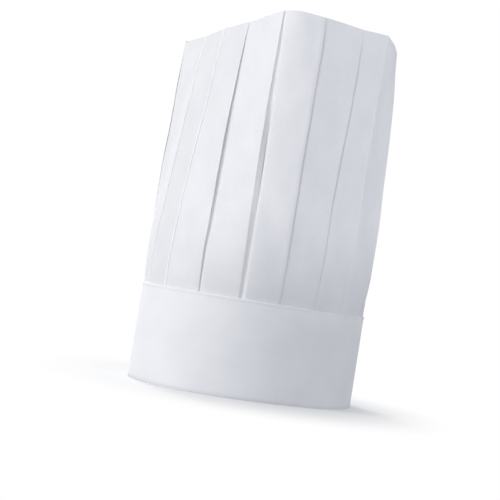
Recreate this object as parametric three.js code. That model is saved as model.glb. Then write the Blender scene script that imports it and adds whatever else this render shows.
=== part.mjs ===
// A tall paper chef hat: a crown in knife pleats, tucked into a plain headband and closed by a plain top.
// Millimetres, +Z up. The hat stands on the headband's lower edge, its front faces -Y and +X is the
// wearer's left.
import * as THREE from 'three';

// Driving sizes
const BAND_HEIGHT = 82;
const HAT_HEIGHT = 323;
const PLEATS = 16;
const PANEL_WIDTH = 49; // one pleat's outer layer, from its hidden fold to its free edge
const BAND_PAPER = 1.2;
const PLEAT_PAPER = 1;
const TOP_PAPER = 1.2;

// The headband's ends overlap at the back.
const BAND_LAP = 26; // how far the outer end lies over the inner one
const BAND_LAP_SLOPE = 34; // where the outer end comes back down beside the lap
const BAND_STEPS = 112;
const BAND_LAP_STEPS = 6;
const BAND_CUT = 0.05; // how far the outer end's square cut leans

// The headband's outline, which the crown's foot follows, and the crown's outline at its rim. square is
// 2 for an ellipse and more for a rounded box, turn is in degrees, forward is towards the forehead from
// the middle of the whole hat's box, and first_fold is where the first free edge stands, in pleats from
// the outline's +X side.
const FOOT = { half_x: 76.2, half_y: 103.4, square: 2.1, turn: 0, forward: -0.6, first_fold: -0.44 };
const RIM = { half_x: 96.3, half_y: 77.2, square: 3.7, turn: 7.8, forward: 9, first_fold: -0.71 };

// Between them the creases run straight, apart from a shoulder just above the headband, where the pleats
// spread as they leave it, and a slight bow to the front.
const SHOULDER = 3.7;
const SHOULDER_RISEN = 0.12; // the shares of the crown's height where the shoulder is full and where it ends
const SHOULDER_GONE = 0.6;
const BOW = 1.9;

// The rim is higher at the two sides than at the front and the back, and higher at the wearer's left side
// than at the right one.
const FRONT_DIP = 17.5;
const BACK_DIP = 8;
const RIM_TILT = 7;

// Each pleat's free edge: how far past its even place it stands at the foot and at the rim, how far the
// rim rises there, how far the edge lifts off the next pleat where it gapes most, and at which share of
// the crown's height that is. flat says how straight the pleat lies between two free edges in the crown's
// upper half, from 0 for round to 1 for straight. The first row is the edge just before the wearer's left
// ear, and the rows go round towards the back.
const FREE_EDGES = [
  { at_foot: 1.6, at_rim: -3.0, rim_rise: -2.1, lift: 1.0, widest: 0.85, flat: 0.1 },
  { at_foot: -1.0, at_rim: -0.1, rim_rise: -1.3, lift: 0.6, widest: 0.78, flat: 0.85 },
  { at_foot: -0.8, at_rim: -9.0, rim_rise: 2.4, lift: 0.3, widest: 0.50, flat: 0.85 },
  { at_foot: 0.1, at_rim: -11.9, rim_rise: -0.9, lift: 5.9, widest: 0.45, flat: 0.85 },
  { at_foot: -2.0, at_rim: -7.0, rim_rise: 0.5, lift: 2.2, widest: 0.55, flat: 0.7 },
  { at_foot: -2.0, at_rim: -2.0, rim_rise: -0.8, lift: 1.6, widest: 0.60, flat: 0.85 },
  { at_foot: -1.0, at_rim: 0.0, rim_rise: 1.2, lift: 2.4, widest: 0.50, flat: 0.6 },
  { at_foot: 0.5, at_rim: -1.5, rim_rise: -0.4, lift: 1.4, widest: 0.42, flat: 0.8 },
  { at_foot: 1.0, at_rim: 2.0, rim_rise: 0.9, lift: 2.8, widest: 0.56, flat: 0.7 },
  { at_foot: 3.5, at_rim: 4.0, rim_rise: -1.0, lift: 1.8, widest: 0.50, flat: 0.85 },
  { at_foot: 7.5, at_rim: 7.0, rim_rise: 0.6, lift: 1.4, widest: 0.60, flat: 0.75 },
  { at_foot: 12.0, at_rim: 12.0, rim_rise: -2.7, lift: 4.2, widest: 0.55, flat: 0.85 },
  { at_foot: 14.5, at_rim: 14.1, rim_rise: 1.0, lift: 0.2, widest: 0.50, flat: 0.85 },
  { at_foot: 6.3, at_rim: 7.1, rim_rise: 1.9, lift: 0.2, widest: 0.46, flat: 0.85 },
  { at_foot: 3.4, at_rim: 2.5, rim_rise: -1.9, lift: 1.0, widest: 0.50, flat: 0.85 },
  { at_foot: 2.2, at_rim: -1.4, rim_rise: -1.2, lift: 0.9, widest: 0.44, flat: 0.85 },
];
const STRAIGHTENED = 0.5; // the share of the height above which the pleats lie as straight as that
const LIFTED_SHARE = 0.45; // the share of a pleat's width that its free edge lifts with it

// Gaps between neighbouring layers and pieces
const LAYER_GAP = 0.5;
const SEAT_GAP = 0.4;
const TOP_GAP = 0.8;

// The crown's foot is tucked into the band, and swells over the band's edge just above it.
const TUCK = 15;
const NECK = 0.6;
const CROWN_SHARES = [0.04, 0.12, 0.27, 0.45, 0.63, 0.82, 1];

// The closing panel has a flange turned down inside the crown, and sags in the middle.
const TOP_BELOW_RIM = 4;
const TOP_FLANGE = 13;
const TOP_SHOULDER = 14;
const TOP_SHOULDER_DROP = 1.5;
const TOP_SAG = 4;
const TOP_STEPS = 80;

const WHITE = 0xf2f3f7;

// A closed outline that gives the point and the outward direction at any distance along it,
// counter-clockwise from its +X side
function makeOutline({ half_x, half_y, square, turn, forward }) {
  const steps = 720;
  const turned = THREE.MathUtils.degToRad(turn);
  const points = [];
  for (let i = 0; i <= steps; i += 1) {
    const angle = (2 * Math.PI * i) / steps;
    const x = Math.abs(Math.cos(angle)) / half_x;
    const y = Math.abs(Math.sin(angle)) / half_y;
    const radius = (x ** square + y ** square) ** (-1 / square);
    const slopeX = Math.sign(Math.cos(angle)) * x ** (square - 1) / half_x;
    const slopeY = Math.sign(Math.sin(angle)) * y ** (square - 1) / half_y;
    const outward = new THREE.Vector2(slopeX, slopeY).normalize();
    const place = new THREE.Vector2(radius * Math.cos(angle), radius * Math.sin(angle));
    const centre = new THREE.Vector2(0, 0);
    place.rotateAround(centre, turned);
    outward.rotateAround(centre, turned);
    place.y -= forward;
    const last = points[i - 1];
    const along = last ? last.along + place.distanceTo(last.place) : 0;
    points.push({ place, outward, along });
  }
  const length = points[steps].along;
  function at(distance) {
    const along = THREE.MathUtils.euclideanModulo(distance, length);
    let low = 0;
    let high = steps;
    while (high - low > 1) {
      const middle = (low + high) >> 1;
      if (points[middle].along <= along) low = middle;
      else high = middle;
    }
    const part = (along - points[low].along) / (points[high].along - points[low].along);
    const place = points[low].place.clone().lerp(points[high].place, part);
    const outward = points[low].outward.clone().lerp(points[high].outward, part).normalize();
    return { place, outward };
  }
  return { length, at };
}

const footOutline = makeOutline(FOOT);
const rimOutline = makeOutline(RIM);

// The rim's even height over a place on it
function rimHeight(place) {
  const { half_x, half_y, forward } = RIM;
  const sideways = THREE.MathUtils.clamp(place.x / half_x, -1, 1);
  const backwards = THREE.MathUtils.clamp((place.y + forward) / half_y, -1, 1);
  const dip = THREE.MathUtils.mapLinear(backwards, -1, 1, FRONT_DIP, BACK_DIP);
  return HAT_HEIGHT - dip * (1 - sideways ** 2) - (RIM_TILT * (1 - sideways)) / 2;
}

// A wall between two closed loops of points on each of its levels. A level's outer loop runs
// counter-clockwise, and its inner loop has a point for each point of the outer one.
function wallGeometry(levels) {
  const positions = [];
  const index = [];
  const count = levels[0].outer.length;
  for (const { outer, inner } of levels) {
    for (const point of [...outer, ...inner]) positions.push(point.x, point.y, point.z);
  }
  const outerAt = (level, i) => level * 2 * count + (i % count);
  const innerAt = (level, i) => outerAt(level, i) + count;
  const quad = (a, b, c, d) => index.push(a, b, c, a, c, d);
  const last = levels.length - 1;
  for (let i = 0; i < count; i += 1) {
    for (let level = 0; level < last; level += 1) {
      quad(outerAt(level, i), outerAt(level, i + 1), outerAt(level + 1, i + 1), outerAt(level + 1, i));
      quad(innerAt(level, i + 1), innerAt(level, i), innerAt(level + 1, i), innerAt(level + 1, i + 1));
    }
    quad(outerAt(0, i + 1), outerAt(0, i), innerAt(0, i), innerAt(0, i + 1));
    quad(outerAt(last, i), outerAt(last, i + 1), innerAt(last, i + 1), innerAt(last, i));
  }
  return indexed(positions, index);
}

function indexed(positions, index) {
  const geometry = new THREE.BufferGeometry();
  geometry.setAttribute('position', new THREE.Float32BufferAttribute(positions, 3));
  geometry.setIndex(index);
  geometry.computeVertexNormals();
  return geometry;
}

function paperMesh(name, geometry, roughness) {
  const material = new THREE.MeshStandardMaterial({ color: WHITE, roughness, metalness: 0 });
  const mesh = new THREE.Mesh(geometry, material);
  mesh.name = name;
  return mesh;
}

// The headband: one strip whose outer end lies over its inner end at the back and then eases down
function bandGeometry() {
  const back = footOutline.length / 4;
  const pairs = [];
  const addPair = (distance, raised) => {
    const { place, outward } = footOutline.at(distance);
    const outer = place.clone().addScaledVector(outward, raised);
    const inner = place.clone().addScaledVector(outward, -BAND_PAPER);
    pairs.push({ outer, inner });
  };
  for (let i = 0; i <= BAND_LAP_STEPS; i += 1) addPair(back + (BAND_LAP * i) / BAND_LAP_STEPS, BAND_PAPER);
  const rest = footOutline.length - BAND_LAP;
  for (let i = 1; i < BAND_STEPS; i += 1) {
    const gone = (rest * i) / BAND_STEPS;
    const raised = BAND_PAPER * Math.max(0, 1 - gone / BAND_LAP_SLOPE);
    addPair(back + BAND_LAP + gone, raised);
  }
  addPair(back - BAND_CUT, 0);
  const levels = [0, BAND_HEIGHT].map((z) => ({
    outer: pairs.map(({ outer }) => new THREE.Vector3(outer.x, outer.y, z)),
    inner: pairs.map(({ inner }) => new THREE.Vector3(inner.x, inner.y, z)),
  }));
  return wallGeometry(levels);
}

// How far the crown stands outside its straight creases at a share of its height
function shoulderAt(share) {
  const { smoothstep } = THREE.MathUtils;
  return SHOULDER * smoothstep(share, 0, SHOULDER_RISEN) * (1 - smoothstep(share, 0, SHOULDER_GONE));
}

// A place on the crown's even outside at a share of its height, on the straight crease from a distance
// along the foot's outline to one along the rim's, and the outward direction there
function evenOutside(share, atFoot, atRim) {
  const foot = footOutline.at(atFoot);
  const rim = rimOutline.at(atRim);
  const bowed = 4 * BOW * share * (1 - share);
  const outward = foot.outward.lerp(rim.outward, share).normalize();
  const flat = foot.place.lerp(rim.place, share).addScaledVector(outward, shoulderAt(share));
  const height = THREE.MathUtils.lerp(BAND_HEIGHT, rimHeight(rim.place), share);
  return { place: new THREE.Vector3(flat.x, flat.y - bowed, height), outward };
}

// Where a pleat's free edge stands, as distances along the foot's and the rim's outlines, with its rise
// and how flat its pleat lies
function freeEdge(pleat) {
  const { at_foot, at_rim, rim_rise, flat } = FREE_EDGES[THREE.MathUtils.euclideanModulo(pleat, PLEATS)];
  return {
    foot: ((pleat + FOOT.first_fold) * footOutline.length) / PLEATS + at_foot,
    rim: ((pleat + RIM.first_fold) * rimOutline.length) / PLEATS + at_rim,
    rise: rim_rise,
    flat,
  };
}

// The free edges that a level crosses, in order, from two before the first pleat's to one past the last's
function edgesOnLevel(share) {
  const edges = [];
  for (let pleat = -2; pleat <= PLEATS; pleat += 1) {
    const { foot, rim, rise, flat } = freeEdge(pleat);
    const { place } = evenOutside(share, foot, rim);
    place.z += rise * share;
    edges.push({ along: THREE.MathUtils.lerp(foot, rim, share), place, rise, flat });
  }
  return edges;
}

// A point at a depth below the crown's outside, which is drawn towards the straight line between two free
// edges as far as the pleat there lies flat
function crownPoint(share, atFoot, atRim, depth) {
  const { place, outward } = evenOutside(share, atFoot, atRim);
  const along = THREE.MathUtils.lerp(atFoot, atRim, share);
  const edges = edgesOnLevel(share);
  const next = edges.findIndex((edge) => edge.along >= along);
  const [start, end] = [edges[next - 1], edges[next]];
  const part = (along - start.along) / (end.along - start.along);
  const straight = start.place.clone().lerp(end.place, part);
  place.z += share * THREE.MathUtils.lerp(start.rise, end.rise, part);
  place.lerp(straight, end.flat * THREE.MathUtils.smoothstep(share, 0, STRAIGHTENED));
  return new THREE.Vector3(place.x - outward.x * depth, place.y - outward.y * depth, place.z);
}

// How far a pleat's free edge stands off at a share of the crown's height
function liftAt(pleat, share) {
  const { lift, widest } = FREE_EDGES[pleat];
  const rise = share < widest ? share / widest : (1 - share) / (1 - widest);
  return lift * Math.sin((Math.PI / 2) * rise);
}

// One pleat's path across a level, from its hidden start under the pleat before, over its visible face
// to its free edge, and back underneath
function pleatPath(pleat, share, inset) {
  const start = freeEdge(pleat - 1);
  const end = freeEdge(pleat);
  const lapAtFoot = PANEL_WIDTH - footOutline.length / PLEATS;
  const lapAtRim = PANEL_WIDTH - rimOutline.length / PLEATS;
  const layer = PLEAT_PAPER + LAYER_GAP;
  const lift = liftAt(pleat, share);
  const path = [];
  const addPoint = (atFoot, atRim, layers) => {
    const near = Math.max(0, 1 - (end.foot - atFoot) / (LIFTED_SHARE * PANEL_WIDTH));
    const depth = PLEAT_PAPER / 2 + layer * layers - lift * near * near + inset;
    path.push(crownPoint(share, atFoot, atRim, depth));
  };
  const addBehind = (edge, part, layers) => {
    addPoint(edge.foot - lapAtFoot * part, edge.rim - lapAtRim * part, layers);
  };
  for (const part of [1, 0.5, 0]) addBehind(start, part, 2);
  for (const part of [0.1, 0.4, 0.7]) {
    const atFoot = THREE.MathUtils.lerp(start.foot, end.foot - lapAtFoot, part);
    const atRim = THREE.MathUtils.lerp(start.rim, end.rim - lapAtRim, part);
    addPoint(atFoot, atRim, 2 * (1 - part));
  }
  for (const part of [1, 0.5, 0]) addBehind(end, part, 0);
  for (const part of [0, 0.5, 1]) addBehind(end, part, 1);
  return path;
}

// The two sides of the pleated strip on one level, half a paper's thickness from its path
function pleatedLoops(share, inset) {
  const path = FREE_EDGES.flatMap((row, pleat) => pleatPath(pleat, share, inset));
  const sideOf = (from, to) => new THREE.Vector2(to.y - from.y, from.x - to.x).normalize();
  const outer = [];
  const inner = [];
  path.forEach((here, i) => {
    const before = sideOf(path[(i + path.length - 1) % path.length], here);
    const after = sideOf(here, path[(i + 1) % path.length]);
    const mitre = before.clone().add(after).divideScalar(1 + before.dot(after));
    const half = mitre.multiplyScalar(PLEAT_PAPER / 2);
    outer.push(new THREE.Vector3(here.x + half.x, here.y + half.y, here.z));
    inner.push(new THREE.Vector3(here.x - half.x, here.y - half.y, here.z));
  });
  return { outer, inner };
}

function crownGeometry() {
  const tucked = [BAND_HEIGHT - TUCK, BAND_HEIGHT + NECK].map((z) => {
    const loops = pleatedLoops(0, BAND_PAPER + SEAT_GAP);
    for (const point of [...loops.outer, ...loops.inner]) point.z = z;
    return loops;
  });
  const risen = CROWN_SHARES.map((share) => pleatedLoops(share, 0));
  return wallGeometry([...tucked, ...risen]);
}

// The closing panel, as rings from the flange's lower edge over the panel to its middle, on both faces
function topGeometry() {
  const crownStack = 3 * PLEAT_PAPER + 2 * LAYER_GAP;
  const flangeDepth = crownStack + TOP_GAP;
  const crownHeight = HAT_HEIGHT - BAND_HEIGHT;
  const middle = new THREE.Vector3(0, -RIM.forward, HAT_HEIGHT - (FRONT_DIP + BACK_DIP + RIM_TILT) / 2);
  middle.z -= TOP_BELOW_RIM + TOP_SAG;
  const positions = [];
  const addRing = (depth, drop, towardsMiddle) => {
    const share = 1 - (TOP_BELOW_RIM + drop) / crownHeight;
    for (let i = 0; i < TOP_STEPS; i += 1) {
      const around = i / TOP_STEPS;
      const point = crownPoint(
        share,
        (around + FOOT.first_fold / PLEATS) * footOutline.length,
        (around + RIM.first_fold / PLEATS) * rimOutline.length,
        depth,
      );
      point.lerp(middle, towardsMiddle);
      positions.push(point.x, point.y, point.z);
    }
  };
  const addFace = (depth, down) => {
    addRing(flangeDepth + depth, TOP_FLANGE, 0);
    addRing(flangeDepth + depth, down, 0);
    addRing(flangeDepth + TOP_SHOULDER, TOP_SHOULDER_DROP + down, 0);
    addRing(flangeDepth + TOP_SHOULDER, TOP_SHOULDER_DROP + down, 0.5);
    positions.push(middle.x, middle.y, middle.z - down);
  };
  addFace(0, 0);
  addFace(TOP_PAPER, TOP_PAPER);
  const rings = 4;
  const faceSize = rings * TOP_STEPS + 1;
  const at = (face, ring, i) => face * faceSize + ring * TOP_STEPS + (i % TOP_STEPS);
  const middleOf = (face) => face * faceSize + rings * TOP_STEPS;
  const index = [];
  const quad = (a, b, c, d) => index.push(a, b, c, a, c, d);
  for (let i = 0; i < TOP_STEPS; i += 1) {
    for (let ring = 0; ring < rings - 1; ring += 1) {
      quad(at(0, ring, i), at(0, ring, i + 1), at(0, ring + 1, i + 1), at(0, ring + 1, i));
      quad(at(1, ring, i + 1), at(1, ring, i), at(1, ring + 1, i), at(1, ring + 1, i + 1));
    }
    index.push(at(0, rings - 1, i), at(0, rings - 1, i + 1), middleOf(0));
    index.push(at(1, rings - 1, i + 1), at(1, rings - 1, i), middleOf(1));
    quad(at(0, 0, i + 1), at(0, 0, i), at(1, 0, i), at(1, 0, i + 1));
  }
  return indexed(positions, index);
}

const hat = new THREE.Group();
hat.add(paperMesh('band', bandGeometry(), 0.75));
hat.add(paperMesh('crown', crownGeometry(), 0.85));
hat.add(paperMesh('crown_top', topGeometry(), 0.85));

export default hat;
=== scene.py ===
"""The looks of a tall paper chef hat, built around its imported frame.

A pleated crown of thin fibrous paper stands in a smooth paper headband and is closed by a plain top.
Sizes are in millimetres in the frame's own axes: +Z up, the front towards -Y, the wearer's left
towards +X.
"""
import math

import bpy
import numpy as np
from mathutils import Matrix, Vector


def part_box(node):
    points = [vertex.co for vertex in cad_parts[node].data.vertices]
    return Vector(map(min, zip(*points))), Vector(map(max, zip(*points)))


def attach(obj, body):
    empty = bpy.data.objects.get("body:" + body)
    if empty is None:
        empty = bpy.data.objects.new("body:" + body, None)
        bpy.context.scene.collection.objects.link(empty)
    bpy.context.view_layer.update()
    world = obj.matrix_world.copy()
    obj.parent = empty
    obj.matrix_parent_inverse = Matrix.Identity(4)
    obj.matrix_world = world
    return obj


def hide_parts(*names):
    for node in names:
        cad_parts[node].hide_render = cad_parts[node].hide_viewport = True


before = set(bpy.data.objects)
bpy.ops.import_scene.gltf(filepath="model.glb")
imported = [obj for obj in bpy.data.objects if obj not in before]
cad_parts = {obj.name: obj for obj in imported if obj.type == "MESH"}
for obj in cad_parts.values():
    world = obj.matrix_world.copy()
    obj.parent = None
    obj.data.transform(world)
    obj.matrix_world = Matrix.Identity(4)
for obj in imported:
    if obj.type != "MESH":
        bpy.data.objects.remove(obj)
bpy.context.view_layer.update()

MM = 0.001

# Sizes that come from the frame
BAND_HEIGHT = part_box("band")[1].z / MM
RIM_CREST = 0.48  # how far the highest pleat's rim stands above the even rim's highest place
HAT_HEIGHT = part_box("crown")[1].z / MM - RIM_CREST
CROWN_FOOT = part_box("crown")[0].z / MM
LAP_RAISE = 1.2  # how far the headband's lap stands behind its oval
CENTRE_Y = (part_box("band")[0].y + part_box("band")[1].y) / 2 / MM - LAP_RAISE / 2

# The headband's oval, which the crown's foot follows, and the crown's outline at its rim. square is 2 for
# an ellipse and more for a rounded box, turn is in degrees and forward is towards the forehead.
FOOT = {
    "half_x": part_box("band")[1].x / MM,
    "half_y": (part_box("band")[1].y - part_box("band")[0].y) / 2 / MM - LAP_RAISE / 2,
    "square": 2.1, "turn": 0, "forward": -CENTRE_Y,
}
RIM = {"half_x": 96.3, "half_y": 77.2, "square": 3.7, "turn": 7.8, "forward": 9.6 - CENTRE_Y}
PLEATS = 16
FOOT_FIRST_FOLD = -0.44  # where the first free edge stands, in pleats from the outline's +X side
RIM_FIRST_FOLD = -0.71
PANEL_WIDTH = 49  # one pleat's outer layer, from its hidden fold to its free edge

# Between the two the creases run straight, apart from a shoulder just above the band and a slight bow
SHOULDER = 2.0
SHOULDER_RISEN = 0.18  # the shares of the crown's height where the shoulder is full and where it ends
SHOULDER_GONE = 0.6
BOW = 1.9

# The rim is higher at the two sides than at the front and the back, and highest at the wearer's left
FRONT_DIP = 17.5
BACK_DIP = 8
RIM_TILT = 7

# The crown's paper and its layers
PLEAT_PAPER = 0.18
LAYER_STEP = 0.36  # from one layer of a pleat to the next
LAYER_STEP_AT_RIM = 0.28
CLOSING_FROM = 0.7  # the share of the height from which the layers close up towards the rim
PRESSED_STEP = 0.2  # from layer to layer where a fold is pressed flat; such folds also get a painted highlight
PRESSED_RIDGE = 0.06  # how far below such a fold the next pleat comes out
LEAST_MITRE = 0.3  # keeps the corner of a sharp fold short

# The crown's foot in the band
SEAT = 0.15  # between the crown's foot and the inside of the band
NECK = 0.4  # how far above the band's edge the foot comes straight up
NECK_SHARE = 0.05  # the share of the crown's height by which it has come out over the band

# How a free edge lifts, and the gap beside it
LIFTED_SHARE = 0.45  # the share of a panel that its free edge lifts with it
LEAST_GAP = 0.06  # the width that is left of a closed gap
RISE = 0.9  # how wide the step from a gap's floor up to the next panel is
CLOSED_RISE = 0.4  # and where there is no gap
RIDGE_LAYERS = 0.55  # how high that step is, in layers
RIDGE_PER_GAP = 0.35  # and how much higher for each millimetre of a gap, up to RIDGE_GAP
RIDGE_GAP = 3

# Each pleat's free edge, counter-clockwise from the one before the wearer's left ear: how far past its
# even place it stands at the foot and at the rim, how far the rim rises there, how straight its pleat
# lies, how far it lifts off where it gapes most and at which share of the height that is, how wide the
# gap beside it is at the foot, where it gapes most and at the rim, how deep that gap is, how much the
# edge wanders, and how flat its fold is pressed and how strong the painted highlight along that fold is.
FREE_EDGE_COLUMNS = (
    "at_foot", "at_rim", "rim_rise", "flat", "lift", "widest", "gap_foot", "gap_mid", "gap_rim", "sink",
    "wander", "pale",
)
FREE_EDGES = [dict(zip(FREE_EDGE_COLUMNS, row)) for row in (
    (1.6, -3.0, -2.1, 0.10, 1.7, 0.82, 0.4, 4.0, 1.0, 1.8, 0.2, 0.0),
    (-1.0, -0.1, -1.3, 0.85, 1.7, 0.74, 0.3, 3.6, 0.0, 1.4, 0.3, 0.0),
    (-0.8, -9.0, 2.4, 0.85, 1.0, 0.60, 0.1, 1.0, 0.0, 0.3, 0.4, 0.35),
    (0.1, -11.9, -0.9, 0.85, 5.7, 0.45, 0.5, 2.0, 0.3, 0.3, 0.4, 0.2),
    (-2.0, -7.0, 0.5, 0.70, 2.2, 0.55, 0.3, 1.4, 0.0, 0.2, 0.5, 0.2),
    (-2.0, -2.0, -0.8, 0.85, 1.2, 0.60, 0.2, 0.8, 0.0, 0.1, 0.4, 0.4),
    (-1.0, 0.0, 1.2, 0.60, 2.0, 0.50, 0.5, 1.8, 0.0, 0.3, 0.3, 0.2),
    (0.5, -1.5, -0.4, 0.80, 1.0, 0.42, 0.2, 0.6, 0.0, 0.1, 0.5, 0.5),
    (1.0, 2.0, 0.9, 0.70, 2.4, 0.56, 0.6, 2.0, 0.2, 0.3, 0.3, 0.2),
    (3.5, 4.0, -1.0, 0.85, 1.4, 0.50, 0.3, 1.0, 0.0, 0.2, 0.4, 0.4),
    (7.5, 7.0, -0.6, 0.75, 1.0, 0.60, 0.2, 0.6, 0.0, 0.1, 0.4, 0.5),
    (12.0, 12.0, -2.7, 0.85, 0.5, 0.70, 0.1, 0.2, 0.0, 0.0, 0.3, 0.9),
    (14.5, 14.1, 1.0, 0.85, 0.2, 0.50, 0.0, 0.0, 0.0, 0.0, 0.4, 1.0),
    (6.3, 7.1, 1.9, 0.85, 0.2, 0.46, 0.0, 0.0, 0.0, 0.0, 0.4, 1.0),
    (3.4, 2.5, -1.9, 0.85, 1.0, 0.50, 1.2, 2.8, 0.0, 0.6, 0.2, 0.0),
    (2.2, -1.4, -1.2, 0.85, 0.9, 0.48, 3.4, 4.4, 0.6, 1.0, 0.2, 0.0),
)]
STRAIGHTENED = 0.5  # the share of the height above which the pleats lie as straight as flat says
WANDER_LENGTHS = (0.61, 0.23, 0.13)  # the lengths of a wandering edge's waves, in crown heights
WANDER_SEED = 100
WANDER_FULL = 0.2  # the share of the height from which an edge wanders in full

# The crown's slight waviness: each wave's length round the rim and its height
RIPPLES = ((61, 0.35), (37, 0.22), (23, 0.1))
RIPPLE_LEAN = 88.9  # how far round the hat a ripple moves from the foot to the rim
RIPPLE_APART = 0.37  # how far each wave starts after the one before it, in its own lengths
RIPPLE_FULL = 0.25  # the share of the height from which the ripples have their full height

# How finely the crown is meshed: points on each stretch of a pleat, and levels
HIDDEN_POINTS = 3
FLOOR_POINTS = 3
RISE_POINTS = 4
FACE_POINTS = 16
FOLD_POINTS = 4
RETURN_POINTS = 5
TUCKED_LEVELS = 3
CROWN_LEVELS = 62

# The closing top: a flange inside the crown, a turned edge and a disc that sags a little
TOP_PAPER = 0.4
TOP_GAP = 0.8  # between the crown's innermost layer and the flange
TOP_BELOW_RIM = 4
TOP_FLANGE = 12
TOP_EDGE_DROP = 2.2  # how far below the panel's edge the flange starts to turn
TOP_EDGE_UP = 1.8  # how far up and how far across its turn goes
TOP_EDGE_ACROSS = 1.6
TOP_START = 0.04  # the share of the way to the middle at which the disc starts
TOP_SAG = 4
TOP_AROUND = 192
TOP_RINGS = 26

# The disc's slack, in waves round its edge, and how fast on the way to the middle the crown's corners go,
# the slack comes and it goes again
TOP_SLACK = 2.6
TOP_WAVES = (7, 11, 17, 29)
TOP_EVENED = 6
TOP_SLACKENED = 12
TOP_TIGHTENED = 1.4

# The headband's paper: a doubled strip with its fold at the top, lapped at the back
BAND_PAPER = 0.6
BAND_LAP = 26  # how far the outer end lies over the inner one
BAND_LAP_SLOPE = 34  # where the outer end comes back down beside the lap
BAND_END = 0.3  # how far before the lap's start the inner end's last point lies
BAND_CUT = 0.05  # how far the outer end's square cut leans
BAND_AROUND = 420
BAND_LAP_AROUND = 16
BAND_BEVEL = 0.15  # of the lower edge, on both sides
BAND_PLAIN_FROM = 4  # the height from which the band's levels are evenly spaced
BAND_PLAIN_LEVELS = 18
BAND_FOLD_HEIGHT = 3.2  # how far below its fold the strip starts to flare
BAND_FOLD_FLARE = 0.45  # and how far out it flares
BAND_FLARE_LEVELS = 10
BAND_FOLD_RISE = 0.62  # how high the fold is rounded
BAND_FOLD_TURNS = (30, 55, 75, 88)  # the places on that rounding, in degrees

# The camera stands where the photograph's does, in the wearer's left front, below the crown's middle
CAMERA_AZIMUTH = 64
CAMERA_ELEVATION = -3.88
CAMERA_ROLL = 9.28
CAMERA_DISTANCE = 1036
CAMERA_TARGET = Vector((0, CENTRE_Y, 166.5))
PICTURE = 500  # the photograph's width and height in pixels
TARGET_PIXEL = (270.6, 206.7)
FOCAL_PIXELS = 1151
SENSOR = 36  # its width, for the lens alone

# Soft boxes round the hat: degrees right of the camera, degrees up, the light that reaches the hat, and
# how many metres across each one is
LIGHT_COLUMNS = ("name", "beside", "up", "power", "size", "colour")
LIGHTS = [dict(zip(LIGHT_COLUMNS, row)) for row in (
    ("key", -60, 12, 1.8, 0.6, (1.0, 0.99, 0.98)),
    ("fill", 34, 10, 0.75, 1.3, (0.955, 0.96, 1.0)),
    ("back", -150, 35, 1.6, 0.9, (1.0, 1.0, 1.0)),
)]
LIGHT_DISTANCE = 2.0

# A round spot for the crown: the lower edge of its cone crosses the hat just below the headband's top
CROWN_LIGHT = dict(zip(LIGHT_COLUMNS, ("crown", 30, -6, 0.58, 0.1, (0.985, 0.98, 1.0))))
CROWN_LIGHT_FOOT = 77  # the height of that edge
CROWN_LIGHT_RADIUS = 600  # the cone's radius at the hat
CROWN_LIGHT_SOFTNESS = 0.014  # the share of the cone over which its light fades out

# The sky, and in metres the floor and the backdrop
SKY = 0.39
SKY_COLOUR = (0.9, 0.93, 1, 1)
FLOOR_COLOUR = (0.93, 0.93, 0.94, 1)
FLOOR_RADIUS = 1.8
FLOOR_RINGS = (0.02, 0.5, 1.0, FLOOR_RADIUS)
FLOOR_AROUND = 96
BACKDROP_CURVE = 0.6  # the radius of the curve between the floor and the backdrop
BACKDROP_STEP = 10  # and its steps, in degrees
BACKDROP_HEIGHT = 2.6
SHADOW_REACH = (0.05, 0.2)  # metres from the hat's middle over which the floor brightens to plain white


def smooth(value):
    """Eases from 0 to 1 as value goes from 0 to 1."""
    value = np.clip(value, 0, 1)
    return value * value * (3 - 2 * value)


def lerp(low, high, share):
    return low + (high - low) * share


class Outline:
    """A closed superellipse, read by the distance along it, counter-clockwise from its +X side."""

    STEPS = 2880

    def __init__(self, half_x, half_y, square, turn, forward):
        angle = np.linspace(0, 2 * math.pi, self.STEPS + 1)
        across, along = np.cos(angle), np.sin(angle)
        x, y = np.abs(across) / half_x, np.abs(along) / half_y
        radius = (x**square + y**square) ** (-1 / square)
        place = np.stack([radius * across, radius * along], 1)
        slope_x = np.sign(across) * x ** (square - 1) / half_x
        slope_y = np.sign(along) * y ** (square - 1) / half_y
        slope = np.stack([slope_x, slope_y], 1)
        slope /= np.linalg.norm(slope, axis=1, keepdims=True)
        cos, sin = math.cos(math.radians(turn)), math.sin(math.radians(turn))
        rotation = np.array([[cos, sin], [-sin, cos]])
        self.place = place @ rotation - np.array([0, forward])
        self.outward = slope @ rotation
        steps = np.linalg.norm(np.diff(self.place, axis=0), axis=1)
        self.along = np.concatenate([[0], np.cumsum(steps)])
        self.length = self.along[-1]

    def read(self, table, distance):
        return np.stack([np.interp(distance, self.along, table[:, k]) for k in (0, 1)], -1)

    def at(self, distance):
        """The places and outward directions at an array of distances."""
        distance = np.mod(distance, self.length)
        outward = self.read(self.outward, distance)
        return self.read(self.place, distance), outward / np.linalg.norm(outward, axis=-1, keepdims=True)


foot_outline = Outline(**FOOT)
rim_outline = Outline(**RIM)


def rim_height(place):
    """The rim's even height over places on it."""
    sideways = np.clip(place[..., 0] / RIM["half_x"], -1, 1)
    backwards = np.clip((place[..., 1] + RIM["forward"]) / RIM["half_y"], -1, 1)
    dip = lerp(FRONT_DIP, BACK_DIP, (backwards + 1) / 2)
    return HAT_HEIGHT - dip * (1 - sideways**2) - RIM_TILT * (1 - sideways) / 2


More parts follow.
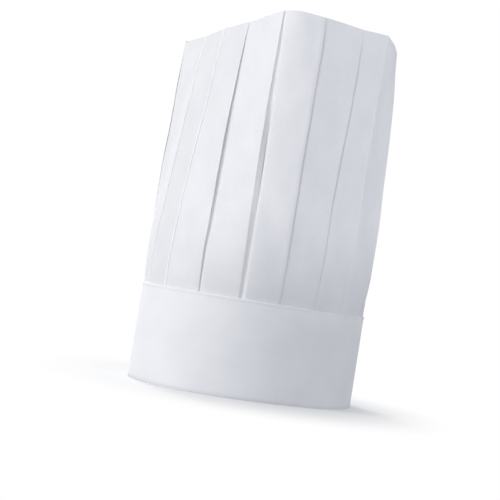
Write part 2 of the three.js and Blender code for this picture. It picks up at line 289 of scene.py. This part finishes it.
def even_skin(share, at_foot, at_rim):
    """Places on the crown's even outside, and the outward directions there, on the straight creases from
    distances along the foot's outline to distances along the rim's."""
    foot_place, foot_outward = foot_outline.at(at_foot)
    rim_place, rim_outward = rim_outline.at(at_rim)
    outward = lerp(foot_outward, rim_outward, share)
    outward /= np.linalg.norm(outward, axis=-1, keepdims=True)
    shoulder = SHOULDER * smooth(share / SHOULDER_RISEN) * (1 - smooth(share / SHOULDER_GONE))
    flat = lerp(foot_place, rim_place, share) + outward * shoulder
    flat[..., 1] -= 4 * BOW * share * (1 - share)
    height = lerp(BAND_HEIGHT, rim_height(rim_place), share)
    return np.concatenate([flat, height[..., None]], -1), outward


def skin(share, at_foot, at_rim):
    """Places on the crown's outside: the even outside, raised towards each rim's own rise and drawn
    towards the straight lines between the free edges as far as the pleats there lie flat."""
    place, outward = even_skin(share, at_foot, at_rim)
    pleats = range(-2, PLEATS + 1)
    edges = np.array([free_edge(pleat, share) for pleat in pleats])
    rises = np.array([FREE_EDGES[pleat % PLEATS]["rim_rise"] for pleat in pleats])
    flats = np.array([FREE_EDGES[pleat % PLEATS]["flat"] for pleat in pleats])
    corners = even_skin(share, edges[:, 0], edges[:, 1])[0]
    corners[:, 2] += rises * share
    along = lerp(at_foot, at_rim, share)
    corners_along = lerp(edges[:, 0], edges[:, 1], share)
    end = np.searchsorted(corners_along, along)
    start = end - 1
    part = (along - corners_along[start]) / (corners_along[end] - corners_along[start])
    place[:, 2] += share * lerp(rises[start], rises[end], part)
    straight = lerp(corners[start], corners[end], part[:, None])
    flatness = flats[end] * smooth(share / STRAIGHTENED)
    return lerp(place, straight, flatness[:, None]), outward


def wave(share, seed):
    """A gentle wander of about -1 to 1 up a crease."""
    random = np.random.default_rng(seed)
    total = 0
    for length in WANDER_LENGTHS:
        total += math.sin(2 * math.pi * (share / length + random.random()))
    return total / len(WANDER_LENGTHS)


def free_edge(pleat, share):
    """Where a free edge stands, as distances along the foot's and the rim's outlines."""
    number = pleat % PLEATS
    row = FREE_EDGES[number]
    wander = row["wander"] * wave(share, WANDER_SEED + number) * smooth(share / WANDER_FULL)
    at_foot = (pleat + FOOT_FIRST_FOLD) * foot_outline.length / PLEATS + row["at_foot"] + wander
    at_rim = (pleat + RIM_FIRST_FOLD) * rim_outline.length / PLEATS + row["at_rim"] + wander
    return at_foot, at_rim


def swell_up(row, share):
    """Rises from 0 at the foot to 1 where a free edge gapes most, and falls back to 0 at the rim."""
    widest = row["widest"]
    rise = share / widest if share < widest else (1 - share) / (1 - widest)
    return math.sin(math.pi / 2 * rise)


def gap_width(row, share):
    """How wide the gap beside a free edge is at a share of the height."""
    end = row["gap_foot"] if share < row["widest"] else row["gap_rim"]
    return max(LEAST_GAP, lerp(end, row["gap_mid"], swell_up(row, share)))


def layer_step(row, share):
    """How far the layers behind a free edge lie from one another at a share of the height."""
    closing = smooth((share - CLOSING_FROM) / (1 - CLOSING_FROM))
    return lerp(lerp(LAYER_STEP, LAYER_STEP_AT_RIM, closing), PRESSED_STEP, row["pale"])


def lifted(row, share, distance):
    """How far a pleat is lifted at distances before its free edge, at a share of the height."""
    near = np.clip(1 - distance / (LIFTED_SHARE * PANEL_WIDTH), 0, None)
    return row["lift"] * swell_up(row, share) * near**2


def pleat_path(pleat, share):
    """One pleat's middle line across a level, as arrays of at_foot, at_rim, depth below the skin and fold:
    from its hidden start under the pleat before, over its face to its free edge, and back underneath.
    fold says how strong the painted highlight is along the free edge's fold."""
    before, row = FREE_EDGES[(pleat - 1) % PLEATS], FREE_EDGES[pleat]
    start, end = np.array(free_edge(pleat - 1, share)), np.array(free_edge(pleat, share))
    spans = end - start
    laps = PANEL_WIDTH - np.array([foot_outline.length, rim_outline.length]) / PLEATS
    span, lap = lerp(*spans, share), lerp(*laps, share)
    before_layer, layer = layer_step(before, share), layer_step(row, share)
    middle = PLEAT_PAPER / 2

    # the floor of the gap beside the free edge before, and the step from it up to this pleat's face
    gap = gap_width(before, share)
    rise_width = lerp(CLOSED_RISE, RISE, min(gap, 1))
    ridge = gap + rise_width
    floor_depth = middle + 2 * before_layer + before["sink"] * swell_up(before, share)
    ridge_depth = floor_depth - RIDGE_LAYERS * before_layer - RIDGE_PER_GAP * min(gap, RIDGE_GAP)
    ridge_depth = lerp(ridge_depth, middle + PRESSED_RIDGE, before["pale"])
    hidden = np.linspace(-lap + before_layer, 0, HIDDEN_POINTS, endpoint=False)
    floor = np.linspace(0, gap, FLOOR_POINTS, endpoint=False)
    rise = np.linspace(gap, ridge, RISE_POINTS, endpoint=False)
    face = np.linspace(ridge, span - layer / 2, FACE_POINTS)
    front_x = np.concatenate([hidden, floor, rise, face])
    along_face = np.clip((front_x - ridge) / (span - lap - ridge), 0, 1)
    front_depth = lerp(floor_depth, ridge_depth, smooth((front_x - gap) / rise_width))
    front_depth -= (ridge_depth - middle) * along_face + lifted(row, share, span - front_x)

    # the free edge is a half circle over the layer that turns back, and another ends that layer
    half = layer / 2
    turn = np.linspace(0, math.pi, FOLD_POINTS + 2)[1:-1]
    fold_x = span - half + half * np.sin(turn)
    fold_depth = middle - lifted(row, share, 0) + half * (1 - np.cos(turn))
    back_x = np.linspace(span - half, span - lap + half, RETURN_POINTS)
    back_depth = middle + layer - lifted(row, share, span - back_x)
    under = np.linspace(0, math.pi, FOLD_POINTS)[1:-1]
    under_x = span - lap + half - half * np.sin(under)
    under_half = half + row["sink"] * swell_up(row, share) / 2
    under_depth = middle + layer + under_half * (1 - np.cos(under))

    across = np.concatenate([front_x, fold_x, back_x, under_x])[:, None]
    depth = np.concatenate([front_depth, fold_depth, back_depth, under_depth])
    # fold: a painted highlight on the free edge's fold, as strong as its pale column says
    fold = np.zeros(len(depth))
    fold[len(front_x) - 1 : len(front_x) + len(fold_x) + 1] = row["pale"]
    places = start + np.where(across < 0, across / lap * laps, across / span * spans)
    behind = across[:, 0] > span - lap
    behind[: len(front_x)] = False
    places[behind] = end - (span - across[behind]) / lap * laps
    return places[:, 0], places[:, 1], depth, fold


def crown_level(share, inset):
    """The pleated strip's two sides on one level, with how strong the painted highlight is at each point."""
    paths = [pleat_path(pleat, share) for pleat in range(PLEATS)]
    at_foot, at_rim, depth, fold = (np.concatenate(column) for column in zip(*paths))
    place, outward = skin(share, at_foot, at_rim)
    ripple = np.zeros(len(depth))
    for k, (length, height) in enumerate(RIPPLES):
        turns = (at_rim + share * RIPPLE_LEAN) / length + RIPPLE_APART * k
        ripple += height * np.sin(2 * math.pi * turns) * smooth(share / RIPPLE_FULL)
    middle = place[:, :2] - outward * (depth + inset - ripple)[:, None]
    ahead = np.roll(middle, -1, 0) - middle
    ahead /= np.linalg.norm(ahead, axis=1, keepdims=True)
    side = np.stack([ahead[:, 1], -ahead[:, 0]], 1)
    before = np.roll(side, 1, 0)
    mitre = (before + side) / (1 + np.sum(before * side, 1, keepdims=True)).clip(LEAST_MITRE)
    half = mitre * PLEAT_PAPER / 2
    height = place[:, 2:]
    return np.hstack([middle + half, height]), np.hstack([middle - half, height]), fold


def make_piece(name, points, faces, sharp_degrees=55):
    """A piece from points in millimetres, smooth apart from edges sharper than sharp_degrees."""
    mesh = bpy.data.meshes.new(name)
    mesh.from_pydata((points * MM).tolist(), [], faces)
    mesh.validate()
    mesh.shade_smooth()
    mesh.set_sharp_from_angle(angle=math.radians(sharp_degrees))
    piece = bpy.data.objects.new(name, mesh)
    bpy.context.scene.collection.objects.link(piece)
    return piece


def quads(*corners):
    return np.stack(corners, 1).tolist()


def closed_wall(name, levels, attribute=None):
    """A mesh between the two closed loops of points on each level, capped at both ends. attribute names
    the values that each level may give for its points."""
    outer = np.array([level[0] for level in levels])
    inner = np.array([level[1] for level in levels])
    rows, count = outer.shape[:2]
    here = np.arange(count)
    ahead = (here + 1) % count
    inside = rows * count
    faces = []
    for low in range(0, inside - count, count):
        high = low + count
        faces += quads(low + here, low + ahead, high + ahead, high + here)
        faces += quads(inside + low + ahead, inside + low + here, inside + high + here, inside + high + ahead)
    last = inside - count
    faces += quads(ahead, here, inside + here, inside + ahead)
    faces += quads(last + here, last + ahead, inside + last + ahead, inside + last + here)
    piece = make_piece(name, np.concatenate([outer.reshape(-1, 3), inner.reshape(-1, 3)]), faces)
    if attribute:
        values = np.concatenate([level[2] for level in levels] * 2)
        layer = piece.data.attributes.new(attribute, "FLOAT", "POINT")
        layer.data.foreach_set("value", values.astype(np.float32))
    return piece


def make_crown():
    """The crown: one pleated strip, its foot tucked into the band."""
    tucked_inset = BAND_PAPER + SEAT
    levels = []
    for height in np.linspace(CROWN_FOOT, BAND_HEIGHT + NECK, TUCKED_LEVELS):
        outer, inner, fold = crown_level(0, tucked_inset)
        outer[:, 2] = height
        inner[:, 2] = height
        levels.append((outer, inner, fold))
    for share in np.linspace(0, 1, CROWN_LEVELS + 1)[1:]:
        levels.append(crown_level(share, tucked_inset * (1 - smooth(share / NECK_SHARE))))
    return closed_wall("crown_paper", levels, "fold")


def band_levels():
    """Each level of the band: its height, how far its outside stands out and how deep its inside lies."""
    levels = [(0, -BAND_BEVEL, BAND_PAPER - BAND_BEVEL)]
    flare_foot = BAND_HEIGHT - BAND_FOLD_HEIGHT
    for height in (BAND_BEVEL, *np.linspace(BAND_PLAIN_FROM, flare_foot, BAND_PLAIN_LEVELS)):
        levels.append((height, 0, BAND_PAPER))
    fold_foot = BAND_HEIGHT - BAND_FOLD_RISE
    for share in np.linspace(0, 1, BAND_FLARE_LEVELS + 1)[1:]:
        levels.append((lerp(flare_foot, fold_foot, share), BAND_FOLD_FLARE * smooth(share), BAND_PAPER))
    radius = (BAND_PAPER + BAND_FOLD_FLARE) / 2
    centre = BAND_FOLD_FLARE - radius
    for turn in np.radians(BAND_FOLD_TURNS):
        across = radius * math.cos(turn)
        levels.append((fold_foot + BAND_FOLD_RISE * math.sin(turn), centre + across, across - centre))
    return levels


def make_band():
    """The headband: a doubled strip, its outer end lying over its inner one at the back."""
    back = foot_outline.length / 4
    lap = np.linspace(0, BAND_LAP, BAND_LAP_AROUND)
    rest = np.linspace(BAND_LAP, foot_outline.length - BAND_END, BAND_AROUND)[1:]
    gone = np.concatenate([lap, rest])
    raised = LAP_RAISE * np.clip(1 - (gone - BAND_LAP) / BAND_LAP_SLOPE, 0, 1)
    place, outward = foot_outline.at(back + gone)
    place = np.vstack([place, foot_outline.at(back - BAND_CUT)[0]])
    outward = np.vstack([outward, outward[-1]])
    raised = np.append(raised, 0)
    rings = []
    for height, out, deep in band_levels():
        outer = place + outward * (raised + out)[:, None]
        inner = place - outward * deep
        z = np.full((len(place), 1), height)
        rings.append((np.hstack([outer, z]), np.hstack([inner, z])))
    return closed_wall("headband", rings)


def make_top():
    """The closing panel: a flange glued inside the crown, a turned edge and a slightly slack disc."""
    stack = 3 * PLEAT_PAPER + 2 * LAYER_STEP + TOP_GAP
    around = np.arange(TOP_AROUND) / TOP_AROUND
    at_foot = (around + FOOT_FIRST_FOLD / PLEATS) * foot_outline.length
    at_rim = (around + RIM_FIRST_FOLD / PLEATS) * rim_outline.length
    rim_middle = HAT_HEIGHT - (FRONT_DIP + BACK_DIP + RIM_TILT) / 2
    middle = np.array([0, -RIM["forward"], rim_middle - TOP_BELOW_RIM - TOP_SAG])
    slack = sum(np.sin(2 * math.pi * turns * around + turns) / turns for turns in TOP_WAVES)

    def ring(deep, drop, towards=0, down=0):
        """Points round the panel: deep inside the crown, drop below the panel's edge, a share of the way
        towards its middle, and down for its underside."""
        share = 1 - (TOP_BELOW_RIM + drop) / (HAT_HEIGHT - BAND_HEIGHT)
        place, outward = skin(share, at_foot, at_rim)
        place = lerp(place, even_skin(share, at_foot, at_rim)[0], smooth(towards * TOP_EVENED))
        place[:, :2] -= outward * deep
        place = lerp(place, middle, towards)
        loose = smooth(towards * TOP_SLACKENED) * (1 - smooth(towards * TOP_TIGHTENED))
        place[:, 2] += TOP_SLACK * slack * loose - down
        return place

    sides = []
    for paper in (0, TOP_PAPER):
        rings = [ring(stack + paper, drop) for drop in (TOP_FLANGE, TOP_FLANGE / 2, TOP_EDGE_DROP)]
        for turn in np.radians((30, 60, 90)):
            deep = stack + paper + TOP_EDGE_ACROSS * (1 - math.cos(turn))
            rings.append(ring(deep, TOP_EDGE_DROP - TOP_EDGE_UP * math.sin(turn), down=paper))
        for share in np.linspace(0, 1, TOP_RINGS)[1:-1]:
            towards = lerp(TOP_START, 1, share)
            rings.append(ring(stack + TOP_EDGE_ACROSS, TOP_EDGE_DROP - TOP_EDGE_UP, towards, paper))
        sides.append(np.concatenate([*rings, [middle - np.array([0, 0, paper])]]))

    size = len(sides[0])
    last = size - 1 - TOP_AROUND
    here = np.arange(TOP_AROUND)
    ahead = (here + 1) % TOP_AROUND
    faces = []
    for low in range(0, last, TOP_AROUND):
        high = low + TOP_AROUND
        faces += quads(low + here, low + ahead, high + ahead, high + here)
        faces += quads(size + low + ahead, size + low + here, size + high + here, size + high + ahead)
    for a, b in zip(here.tolist(), ahead.tolist()):
        faces.append([last + a, last + b, size - 1])
        faces.append([size + last + b, size + last + a, 2 * size - 1])
        faces.append([b, a, size + a, size + b])
    return make_piece("closing_top", np.concatenate(sides), faces, sharp_degrees=60)


class Nodes:
    """A material's node tree with short ways to add nodes and links."""

    def __init__(self, name):
        self.material = bpy.data.materials.new(name)
        self.material.use_nodes = True
        self.tree = self.material.node_tree
        self.tree.nodes.clear()

    def add(self, kind, **values):
        """Adds a node and sets its own values, or its inputs where it has no value of that name."""
        node = self.tree.nodes.new(kind)
        for key, value in values.items():
            if hasattr(node, key):
                setattr(node, key, value)
            else:
                node.inputs[key.replace("_", " ")].default_value = value
        return node

    def link(self, source, target):
        self.tree.links.new(source, target)

    def noise(self, scale, detail, roughness, stretch=(1, 1, 1)):
        """Noise with about scale features to the metre, times stretch along each axis."""
        place = self.add("ShaderNodeTexCoord")
        mapping = self.add("ShaderNodeMapping")
        mapping.inputs["Scale"].default_value = stretch
        texture = self.add("ShaderNodeTexNoise", Scale=scale, Detail=detail, Roughness=roughness)
        self.link(place.outputs["Object"], mapping.inputs["Vector"])
        self.link(mapping.outputs["Vector"], texture.inputs["Vector"])
        return texture.outputs["Fac"]

    def ramp(self, source, low, high, low_at, high_at):
        """The colour low up to low_at, the colour high from high_at on, and a blend between them."""
        ramp = self.add("ShaderNodeValToRGB")
        for element, colour, position in zip(ramp.color_ramp.elements, (low, high), (low_at, high_at)):
            element.position = position
            element.color = (*colour, 1)
        self.link(source, ramp.inputs["Fac"])
        return ramp.outputs["Color"]

    def mix(self, factor, low, high, blend="MIX"):
        node = self.add("ShaderNodeMix", data_type="RGBA", blend_type=blend)
        for value, socket in ((factor, node.inputs[0]), (low, node.inputs[6]), (high, node.inputs[7])):
            if isinstance(value, bpy.types.NodeSocket):
                self.link(value, socket)
            else:
                socket.default_value = value if isinstance(value, float) else (*value, 1)
        return node.outputs[2]

    def bump(self, height, strength, distance, before=None):
        """A bump of a depth in metres, on top of an earlier one if there is one."""
        node = self.add("ShaderNodeBump", Strength=strength, Distance=distance)
        self.link(height, node.inputs["Height"])
        if before:
            self.link(before, node.inputs["Normal"])
        return node.outputs["Normal"]

    def paper(self, colour, normal, roughness, specular, sheen):
        shader = self.add("ShaderNodeBsdfPrincipled", Roughness=roughness)
        self.link(colour, shader.inputs["Base Color"])
        self.link(normal, shader.inputs["Normal"])
        shader.inputs["Specular IOR Level"].default_value = specular
        shader.inputs["Sheen Weight"].default_value = sheen
        shader.inputs["Sheen Roughness"].default_value = 0.6
        output = self.add("ShaderNodeOutputMaterial")
        self.link(shader.outputs["BSDF"], output.inputs["Surface"])
        return self.material


def fibrous_paper(name, with_fold_highlights):
    """Non-woven paper: a mat of fine fibres, cloudy where it is thin, and with_fold_highlights lighter along
    the pleats' folds: a painted highlight.
    """
    nodes = Nodes(name)
    cloud = nodes.noise(scale=55, detail=3, roughness=0.5, stretch=(1, 1, 0.6))
    colour = nodes.ramp(cloud, (0.82, 0.827, 0.847), (0.855, 0.86, 0.877), low_at=0.35, high_at=0.65)
    fibres = nodes.noise(scale=1500, detail=3, roughness=0.6, stretch=(1, 1, 0.35))
    speck = nodes.ramp(fibres, (0.955, 0.955, 0.96), (1, 1, 1), low_at=0.3, high_at=0.62)
    colour = nodes.mix(1.0, colour, speck, "MULTIPLY")
    if with_fold_highlights:
        # painted highlight: the folds' paper is made lighter where their edges catch the light
        fold = nodes.add("ShaderNodeAttribute", attribute_name="fold").outputs["Fac"]
        colour = nodes.mix(fold, colour, (0.97, 0.975, 0.985))
    cross_fibres = nodes.noise(scale=1100, detail=2, roughness=0.6, stretch=(0.3, 0.3, 1.2))
    cockle = nodes.noise(scale=38, detail=2, roughness=0.4, stretch=(1, 1, 0.35))
    normal = nodes.bump(cross_fibres, strength=0.35, distance=0.00012)
    normal = nodes.bump(fibres, strength=0.45, distance=0.00012, before=normal)
    normal = nodes.bump(cockle, strength=0.35, distance=0.0012, before=normal)
    return nodes.paper(colour, normal, roughness=0.88, specular=0.25, sheen=0.06)


def smooth_paper(name):
    """The headband's paper: closer, flatter and a little less matt than the crown's."""
    nodes = Nodes(name)
    cloud = nodes.noise(scale=30, detail=2, roughness=0.5)
    colour = nodes.ramp(cloud, (0.865, 0.872, 0.90), (0.905, 0.91, 0.93), low_at=0.35, high_at=0.65)
    grain = nodes.noise(scale=2400, detail=2, roughness=0.5)
    speck = nodes.ramp(grain, (0.975, 0.975, 0.98), (1, 1, 1), low_at=0.3, high_at=0.6)
    colour = nodes.mix(1.0, colour, speck, "MULTIPLY")
    cockle = nodes.noise(scale=16, detail=1, roughness=0.3, stretch=(1, 1, 0.7))
    normal = nodes.bump(grain, strength=0.25, distance=0.00006)
    normal = nodes.bump(cockle, strength=0.25, distance=0.002, before=normal)
    return nodes.paper(colour, normal, roughness=0.7, specular=0.35, sheen=0.0)


def finish_piece(piece, material, node):
    piece.data.materials.append(material)
    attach(piece, "root")
    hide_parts(node)


def direction(azimuth, elevation):
    """A direction, in degrees round from the front towards the wearer's left and degrees up."""
    turn, up = math.radians(azimuth), math.radians(elevation)
    return Vector((math.sin(turn) * math.cos(up), -math.cos(turn) * math.cos(up), math.sin(up)))


def make_camera():
    azimuth, roll = math.radians(CAMERA_AZIMUTH), math.radians(CAMERA_ROLL)
    towards = direction(CAMERA_AZIMUTH, CAMERA_ELEVATION)
    level = Vector((math.cos(azimuth), math.sin(azimuth), 0))
    upright = towards.cross(level)
    right = level * math.cos(roll) + upright * math.sin(roll)
    up = upright * math.cos(roll) - level * math.sin(roll)
    data = bpy.data.cameras.new("camera")
    data.sensor_fit = "HORIZONTAL"
    data.sensor_width = SENSOR
    data.lens = SENSOR * FOCAL_PIXELS / PICTURE
    data.shift_x = (PICTURE / 2 - TARGET_PIXEL[0]) / PICTURE
    data.shift_y = (TARGET_PIXEL[1] - PICTURE / 2) / PICTURE
    data.clip_start = 0.01
    camera = bpy.data.objects.new("camera", data)
    turn = Matrix((right, up, towards)).transposed().to_4x4()
    camera.matrix_world = Matrix.Translation((CAMERA_TARGET + towards * CAMERA_DISTANCE) * MM) @ turn
    bpy.context.scene.collection.objects.link(camera)
    bpy.context.scene.camera = camera


def add_light(row, kind, target):
    """A light at LIGHT_DISTANCE from a target in millimetres, turned towards it."""
    towards = direction(CAMERA_AZIMUTH + row["beside"], row["up"])
    data = bpy.data.lights.new(row["name"], kind)
    data.color = row["colour"]
    light = bpy.data.objects.new(row["name"], data)
    light.location = target * MM + towards * LIGHT_DISTANCE
    light.rotation_euler = towards.to_track_quat("Z", "Y").to_euler()
    light.visible_camera = False
    bpy.context.scene.collection.objects.link(light)
    return data


def make_lights():
    for row in LIGHTS:
        data = add_light(row, "AREA", CAMERA_TARGET)
        data.shape = "DISK"
        data.size = row["size"]
        data.energy = row["power"] * math.pi * LIGHT_DISTANCE**2
    data = add_light(CROWN_LIGHT, "SPOT", Vector((0, CENTRE_Y, CROWN_LIGHT_FOOT + CROWN_LIGHT_RADIUS)))
    data.shadow_soft_size = CROWN_LIGHT["size"] / 2
    data.energy = CROWN_LIGHT["power"] * 4 * math.pi * LIGHT_DISTANCE**2
    data.spot_size = 2 * math.atan(CROWN_LIGHT_RADIUS * MM / LIGHT_DISTANCE)
    data.spot_blend = CROWN_LIGHT_SOFTNESS
    world = bpy.data.worlds.new("world")
    world.use_nodes = True
    background = world.node_tree.nodes["Background"]
    background.inputs["Color"].default_value = SKY_COLOUR
    background.inputs["Strength"].default_value = SKY
    bpy.context.scene.world = world
    bpy.context.scene.view_settings.view_transform = "Standard"


def floor_material():
    """A pale floor round the hat that shows its shadow, and brightens to plain white further off."""
    nodes = Nodes("studio")
    place = nodes.add("ShaderNodeTexCoord").outputs["Object"]
    length = nodes.add("ShaderNodeVectorMath", operation="LENGTH")
    nodes.link(place, length.inputs[0])
    reach = nodes.add("ShaderNodeMapRange", interpolation_type="SMOOTHSTEP")
    nodes.link(length.outputs["Value"], reach.inputs["Value"])
    for end, distance in zip(("From Min", "From Max"), SHADOW_REACH):
        reach.inputs[end].default_value = distance
    pale = nodes.add("ShaderNodeBsdfDiffuse", Color=FLOOR_COLOUR)
    white = nodes.add("ShaderNodeEmission")
    blend = nodes.add("ShaderNodeMixShader")
    nodes.link(reach.outputs["Result"], blend.inputs[0])
    nodes.link(pale.outputs[0], blend.inputs[1])
    nodes.link(white.outputs[0], blend.inputs[2])
    output = nodes.add("ShaderNodeOutputMaterial")
    nodes.link(blend.outputs[0], output.inputs["Surface"])
    return nodes.material


def make_stage():
    """A round floor that curves up into a backdrop."""
    profile = [(radius, 0) for radius in FLOOR_RINGS]
    for degrees in range(BACKDROP_STEP, 91, BACKDROP_STEP):
        turn = math.radians(degrees)
        radius = FLOOR_RADIUS + BACKDROP_CURVE * math.sin(turn)
        profile.append((radius, BACKDROP_CURVE * (1 - math.cos(turn))))
    profile.append((FLOOR_RADIUS + BACKDROP_CURVE, BACKDROP_HEIGHT))
    points = [(0, 0, 0)]
    for radius, height in profile:
        for k in range(FLOOR_AROUND):
            turn = 2 * math.pi * k / FLOOR_AROUND
            points.append((radius * math.cos(turn), radius * math.sin(turn), height))
    here = np.arange(FLOOR_AROUND)
    ahead = (here + 1) % FLOOR_AROUND
    faces = [(0, 1 + a, 1 + b) for a, b in zip(here.tolist(), ahead.tolist())]
    for row in range(len(profile) - 1):
        low = 1 + row * FLOOR_AROUND
        high = low + FLOOR_AROUND
        faces += quads(low + here, high + here, high + ahead, low + ahead)
    mesh = bpy.data.meshes.new("studio_floor")
    mesh.from_pydata(points, [], faces)
    mesh.shade_smooth()
    mesh.materials.append(floor_material())
    floor = bpy.data.objects.new("studio_floor", mesh)
    bpy.context.scene.collection.objects.link(floor)
    # it shows the hat's shadow, and neither lights the hat nor shades it
    floor.visible_diffuse = False
    floor.visible_shadow = False


finish_piece(make_crown(), fibrous_paper("crown_paper", with_fold_highlights=True), "crown")
finish_piece(make_band(), smooth_paper("band_paper"), "band")
finish_piece(make_top(), fibrous_paper("top_paper", with_fold_highlights=False), "crown_top")
make_camera()
make_lights()
make_stage()
